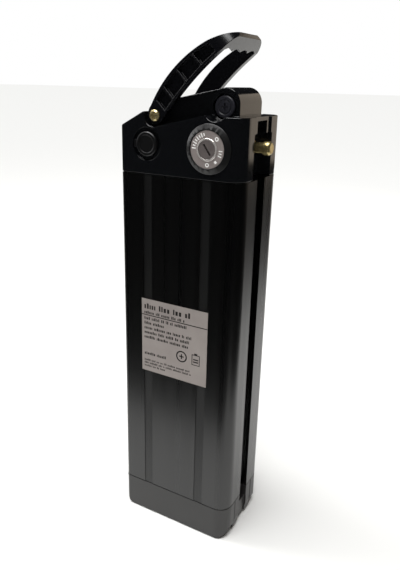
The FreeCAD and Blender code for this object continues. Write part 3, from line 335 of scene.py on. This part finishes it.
# Brushed round its centre, so the grain depends on the radius only, under hazy lacquer.
spot = add_node(tree, "ShaderNodeTexCoord")
offset = add_node(tree, "ShaderNodeVectorMath", {"operation": "SUBTRACT"}, _0=spot.outputs["Object"],
                  _1=tuple(dial_centre))
flat = add_node(tree, "ShaderNodeVectorMath", {"operation": "MULTIPLY"}, _0=offset, _1=(1, 0, 1))
radius = add_node(tree, "ShaderNodeVectorMath", {"operation": "LENGTH"}, _0=flat)
scratches = add_node(tree, "ShaderNodeTexNoise", {"noise_dimensions": "1D"}, W=radius.outputs["Value"],
                     Scale=3200.0, Detail=2.0)
cover(tree, scratches, ("#AFA5A2", "#948A87"), scratches, (0.3, 0.45), 0.004, Metallic=0.35)
softened("lock_face", "lock_dial", "case", dial_metal, 0.12)


def add_bar(work, across, up, width, height, turn=0.0):
    """A flat printed bar in the plane of the wide face, facing forwards; sizes in mm."""
    made = bmesh.ops.create_grid(work, x_segments=1, y_segments=1, size=0.5)
    place = (Matrix.Translation((across / 1000, 0, up / 1000)) @ Matrix.Rotation(-turn, 4, "Y")
             @ Matrix.Rotation(math.radians(90), 4, "X")
             @ Matrix.Diagonal((width / 1000, height / 1000, 1, 1)))
    bmesh.ops.transform(work, matrix=place, verts=made["verts"])


def add_loop(work, across, up, outside, inside):
    """A flat printed ring in the plane of the wide face; sizes in mm."""
    first = work.verts.new(((across + inside) / 1000, 0, up / 1000))
    last = work.verts.new(((across + outside) / 1000, 0, up / 1000))
    edge = work.edges.new((first, last))
    bmesh.ops.spin(work, geom=[first, last, edge], cent=(across / 1000, 0, up / 1000), axis=(0, 1, 0),
                   dvec=(0, 0, 0), angle=2 * math.pi, steps=32, use_merge=True, use_duplicate=False)


ink_thickness, ink_clearance = 0.00004, 0.00001


def printed(name, work, front, body, material):
    """Ink laid a few hundredths of a millimetre thick on a face at y = front."""
    bmesh.ops.recalc_face_normals(work, faces=work.faces)
    raised = bmesh.ops.extrude_face_region(work, geom=work.faces[:])
    moved = [item for item in raised["geom"] if isinstance(item, bmesh.types.BMVert)]
    bmesh.ops.translate(work, vec=(0, -ink_thickness, 0), verts=moved)
    bmesh.ops.translate(work, vec=(0, front + ink_clearance, 0), verts=work.verts)
    bmesh.ops.recalc_face_normals(work, faces=work.faces)
    piece = keep_mesh(name, work)
    piece.data.materials.append(material)
    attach(piece, body)


marks_radius = 11.4
first_tick, tick_spacing = 104, 10.4


def on_marks_circle(angle):
    """The point across and up the dial, in mm, at an angle on the circle of its marks."""
    return (dial_centre.x * 1000 + marks_radius * math.cos(angle),
            dial_centre.z * 1000 + marks_radius * math.sin(angle))


# White filled marks on the dial: ticks for the key's stops, and plain rings and a square.
work = bmesh.new()
for step in range(8):
    angle = math.radians(first_tick + step * tick_spacing)
    add_bar(work, *on_marks_circle(angle), 3.3 if step % 2 else 2.3, 0.85, angle)
for angle_deg, length in ((-2, 3.2), (-12, 2.2), (-22, 3.2)):
    angle = math.radians(angle_deg)
    add_bar(work, *on_marks_circle(angle), length, 0.75, angle)
for angle_deg in (46, -88):
    add_loop(work, *on_marks_circle(math.radians(angle_deg)), 1.6, 0.85)
square = math.radians(-50)
add_bar(work, *on_marks_circle(square), 2.0, 2.0, square)
white_fill = moulded("white filling paint", "#EDEAE6", 0.5, 0.3, 0.005)
printed("dial_marks", work, dial_front, "case", white_fill)

bright_steel = metal("zinc plated pressed steel", "#9FA0A1", "#83837F", 0.3, 0.9)
for node in ("lock_nut", "lock_cam", "charge_socket_nut"):
    paint_node(node, bright_steel)

# ---------------------------------------------------------------- bolt
# The lock's bolt is turned from free-cutting brass, with fine turning lines round it and a
# chamfered tip. It runs in a brass bush.

turned_brass = metal("turned brass", "#D8C894", "#A9955C", 0.24, (0.22, 30, 30), 3.0, bare=0.85)
softened("lock_bolt", "bolt_bar", "bolt", turned_brass, 0.15)
paint_node("bolt_bush", metal("turned brass bush", "#C2A25C", "#9A7D3E", 0.28, (0.22, 30, 30)))

# ---------------------------------------------------------------- charge port
# A nylon socket with a brass centre contact, under a soft moulded rubber cover that hangs
# on its own tab.

cover_rubber = moulded("soft black cover rubber", "#0C0C0D", 0.36, 0.5, 0.02, ior=1.50)
softened("charge_port_cover", "port_cover_disc", "port_cover", cover_rubber, 0.22)
paint_node("charge_socket", satin_nylon)
tinned_brass = metal("tinned brass", "#D3C9AE", "#B4A06C", 0.24, 0.8)
for node in ("charge_contact", "discharge_blades"):
    paint_node(node, tinned_brass)

# ---------------------------------------------------------------- fuse
# A glass cartridge with nickelled ends in a nylon holder, under a screw cap with a cross
# slot. Only the cap shows.

softened("fuse_cap", "fuse_cap_head", "fuse_plug",
         moulded("satin blue-black nylon", "#27272F", 0.42, 1.5, 0.012), 0.1)
paint_node("fuse_holder", satin_nylon)
fuse_glass, tree = new_material("drawn soda glass tube")
# Drawn tube has faint lines along it; the clear wall bends what lies behind.
draw_lines = pattern(tree, "ShaderNodeTexNoise", (0.4, 12, 0.4), Detail=2.0)
cover(tree, draw_lines, ("#E9F1EE", "#E2ECE8"), draw_lines, (0.0, 0.05), 0.005,
      Transmission_Weight=1.0, IOR=1.52)
paint_node("fuse_glass", fuse_glass)
nickel = metal("bright nickel plate", "#CFCBC2", "#ABA69B", 0.16, (0.5, 8, 0.5))
for node in ("fuse_end_caps", "nickel_strips_front", "nickel_strips_rear"):
    paint_node(node, nickel)

# ---------------------------------------------------------------- rating label
# A silver-grey polyester film with a slight sheen. The print is stand-in lines of small
# bars, a rule under the heading, and two plain symbols; it carries no words.

film, tree = new_material("silver-grey polyester film")
fibre = pattern(tree, "ShaderNodeTexNoise", 0.5, Detail=3.0)
waves = pattern(tree, "ShaderNodeTexNoise", 26.0, Detail=2.0)
cover(tree, waves, ("#978E8A", "#B4ACA7"), fibre, (0.32, 0.48), 0.01, Metallic=0.25)
paint_node("rating_label", film)

label_low, label_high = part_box("rating_label")
label_left, label_top = label_low[0] * 1000, label_high[2] * 1000
label_wide, label_tall = (label_high[0] - label_low[0]) * 1000, (label_high[2] - label_low[2]) * 1000
work = bmesh.new()
spacing = random.Random(4)


def stand_in_line(down, end, height, start=0.04):
    """A row of bars of uneven width and height, in word-like groups; fractions of the label."""
    across = start * label_wide
    middle = label_top - down * label_tall
    left_in_word = spacing.randint(4, 8)
    while across < end * label_wide:
        width = height * spacing.uniform(0.3, 0.6)
        tall = height * (1.0 if spacing.random() < 0.35 else 0.76)
        add_bar(work, label_left + across + width / 2, middle - (height - tall) / 2, width * 0.8, tall)
        across += width + height * 0.12
        left_in_word -= 1
        if left_in_word == 0:
            across += height * 0.55
            left_in_word = spacing.randint(2, 8)


heading_height, line_height, small_height = 5.0, 2.7, 1.9
stand_in_line(0.095, 0.74, heading_height)
stand_in_line(0.178, 0.66, line_height)
add_bar(work, label_left + label_wide / 2, label_top - 0.214 * label_tall, label_wide - 0.2, 0.8)
for down, end in ((0.258, 0.72), (0.322, 0.37), (0.388, 0.77), (0.452, 0.74), (0.516, 0.72)):
    stand_in_line(down, end, line_height)
stand_in_line(0.748, 0.38, line_height)
for down, end in ((0.842, 0.76), (0.884, 0.77), (0.926, 0.38)):
    stand_in_line(down, end, small_height)
symbols_up = label_top - 0.665 * label_tall
ring_across = label_left + 0.625 * label_wide
add_loop(work, ring_across, symbols_up, 5.4, 4.2)
add_bar(work, ring_across, symbols_up, 4.6, 1.1)
add_bar(work, ring_across, symbols_up, 1.1, 4.6)
cell_across = label_left + 0.84 * label_wide
for across, up, width, height in ((-3.6, 0, 0.7, 9.4), (3.6, 0, 0.7, 9.4), (0, 4.7, 7.9, 0.7),
                                  (0, -4.7, 7.9, 0.7), (0, 5.7, 3.0, 1.3), (0, -1.9, 5.0, 1.2),
                                  (0, 0.4, 5.0, 1.2)):
    add_bar(work, cell_across + across, symbols_up + up, width, height)
label_ink = moulded("black label ink", "#171313", 0.4, 0.3, 0.004)
printed("label_print", work, label_low[1], "case", label_ink)

# ---------------------------------------------------------------- cap screws
# Socket screws with a black oxide finish, a thin dull coat of slightly uneven tint.

black_oxide = metal("black oxide steel", "#2A2928", "#1B1A19", 0.4, 0.5)
for node in ("top_cap_screws", "bottom_cap_screws"):
    paint_node(node, black_oxide)

# ---------------------------------------------------------------- cells and holders
# Fifty steel cells in shrink sleeves between two moulded nylon holders, joined by spot
# welded nickel strips. None of it shows while the case is closed.

sleeve, tree = new_material("blue PVC shrink sleeve")
wrinkles = pattern(tree, "ShaderNodeTexNoise", (6, 14, 6), Detail=3.0)
cover(tree, wrinkles, ("#37798F", "#4A8BA0"), wrinkles, (0.2, 0.35), 0.05, IOR=1.53)
paint_node("battery_cells", sleeve)
holder_nylon = moulded("spark-textured black nylon", "#1D1D1D", 0.45, 0.7, 0.02)
for node in ("cell_holder_front", "cell_holder_rear"):
    paint_node(node, holder_nylon)

# ---------------------------------------------------------------- insulation and foam
# Pressed barley paper sheets lie over the strips, with fibres of a millimetre or so. Closed
# cell foam pads, sliced from a block, stop the cells from rattling.

paper, tree = new_material("pressed barley paper")
fibres = pattern(tree, "ShaderNodeTexNoise", (1.5, 1.5, 0.3), Detail=4.0)
cover(tree, fibres, ("#708D79", "#8FAA97"), fibres, (0.8, 0.9), 0.05)
for node in ("insulating_sheet_front", "insulating_sheet_rear"):
    paint_node(node, paper)
foam, tree = new_material("closed cell polyethylene foam")
bubbles = pattern(tree, "ShaderNodeTexVoronoi", 0.8)
cover(tree, bubbles, ("#3A3D41", "#26282B"), bubbles, (0.85, 0.95), 0.2)
for node in ("foam_pad_bottom", "foam_pad_top"):
    paint_node(node, foam)

# ---------------------------------------------------------------- protection board
# Glass epoxy laminate under green solder resist, with the copper tracks showing as a paler
# green. Moulded transistors, a saw-cut heat sink and a nylon plug are soldered to it.

laminate, tree = new_material("solder resist on glass epoxy")
tracks = pattern(tree, "ShaderNodeTexBrick", (3.0, 3.0, 1.2), Mortar_Size=0.12)
weave = pattern(tree, "ShaderNodeTexNoise", 0.4, Detail=2.0)
cover(tree, tracks.outputs["Fac"], ("#12512F", "#1F6B41"), weave, (0.18, 0.3), 0.01, IOR=1.55)
paint_node("bms_board", laminate)
paint_node("bms_transistors", moulded("moulded epoxy", "#202022", 0.5, 0.4, 0.01))
paint_node("bms_heat_sink", metal("extruded aluminium", "#B4B6B8", "#9A9C9E", 0.35, (200, 0.6, 0.6)))
paint_node("balance_connector", moulded("natural nylon", "#E3E0D6", 0.4, 0.8, 0.01))

# ---------------------------------------------------------------- discharge socket and leads
# A nylon socket in the foot holds three tinned blades. Silicone insulated leads join it to
# the board.

paint_node("discharge_socket", satin_nylon)
paint_node("positive_lead", moulded("red silicone insulation", "#A11D1D", 0.45, 0.5, 0.01, ior=1.45))
paint_node("negative_lead", moulded("black silicone insulation", "#151517", 0.45, 0.5, 0.01, ior=1.45))
